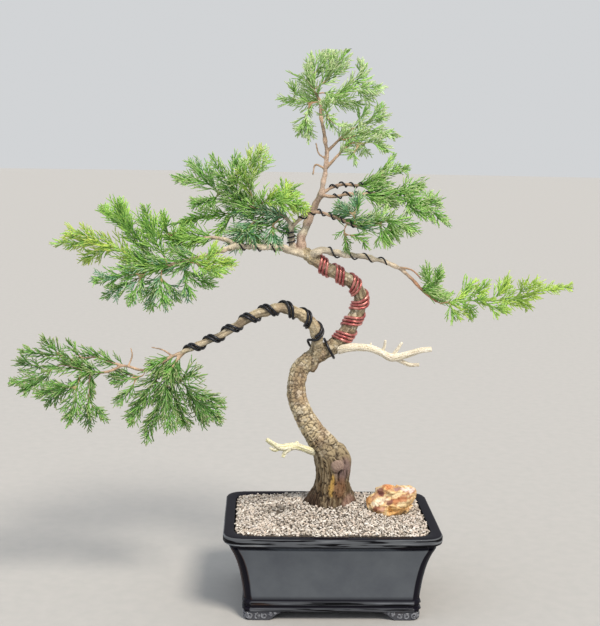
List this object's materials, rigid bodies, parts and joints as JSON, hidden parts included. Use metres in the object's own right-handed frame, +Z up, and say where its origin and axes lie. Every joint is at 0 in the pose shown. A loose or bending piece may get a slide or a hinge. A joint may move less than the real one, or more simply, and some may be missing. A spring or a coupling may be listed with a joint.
{
  "type": "savin juniper bonsai",
  "caption": "Savin juniper bonsai with a bent trunk, jins, training wires and layered foliage in a glazed rectangular pot with gravel and a rock.",
  "frame": {"origin": "middle of the whole object's footprint, on the table under the pot's feet", "axes": "+X to the right along the pot's front, +Y to the back, +Z up"},
  "size_m": [0.663, 0.197, 0.657],
  "materials": {
    "glaze": "gloss",
    "mesh_screen": "matte",
    "soil": "matte",
    "gravel": "matte",
    "rock": "matte",
    "bark": "matte",
    "deadwood": "matte",
    "pale_deadwood": "matte",
    "red_wire": "satin",
    "black_wire": "satin",
    "foliage": "matte"
  },
  "bodies": {
    "root": {"pot": "glaze", "drain_screen_left": "mesh_screen", "drain_screen_right": "mesh_screen", "soil": "soil", "gravel": "gravel", "rock": "rock", "trunk_and_branches": "bark", "jin_right": "deadwood", "jin_left": "pale_deadwood", "red_wire_1": "red_wire", "red_wire_2": "red_wire", "red_wire_3": "red_wire", "black_wire_1": "black_wire", "black_wire_2": "black_wire", "thin_wire_left": "black_wire", "thin_wire_right": "black_wire", "thin_wire_riser": "black_wire", "thin_wire_front_twig": "black_wire", "thin_wire_rear_twig": "black_wire", "thin_wire_mid_twig": "black_wire", "apex_up_right": "foliage", "apex_up": "foliage", "apex_right": "foliage", "apex_left": "foliage", "apex_rear": "foliage", "apex_low_right": "foliage", "crown_top": "foliage", "crown_mid": "foliage", "crown_low": "foliage", "west_up": "foliage", "west_high": "foliage", "west_tip": "foliage", "west_low": "foliage", "west_right": "foliage", "west_fan": "foliage", "west_fan_right": "foliage", "left_far": "foliage", "left_high": "foliage", "left_rise": "foliage", "left_crest": "foliage", "left_inner": "foliage", "left_drop_in": "foliage", "left_drop": "foliage", "left_drop_far": "foliage", "east_high": "foliage", "east_far": "foliage", "east_front": "foliage", "east_bluish": "foliage", "east_drop": "foliage", "tail": "foliage", "tail_crest": "foliage", "far_tip": "foliage", "far_left": "foliage", "far_up": "foliage", "far_drop": "foliage", "far_drop_west": "foliage", "near_right": "foliage", "near_drop": "foliage", "near_left": "foliage", "near_under": "foliage"}
  },
  "joints": []
}
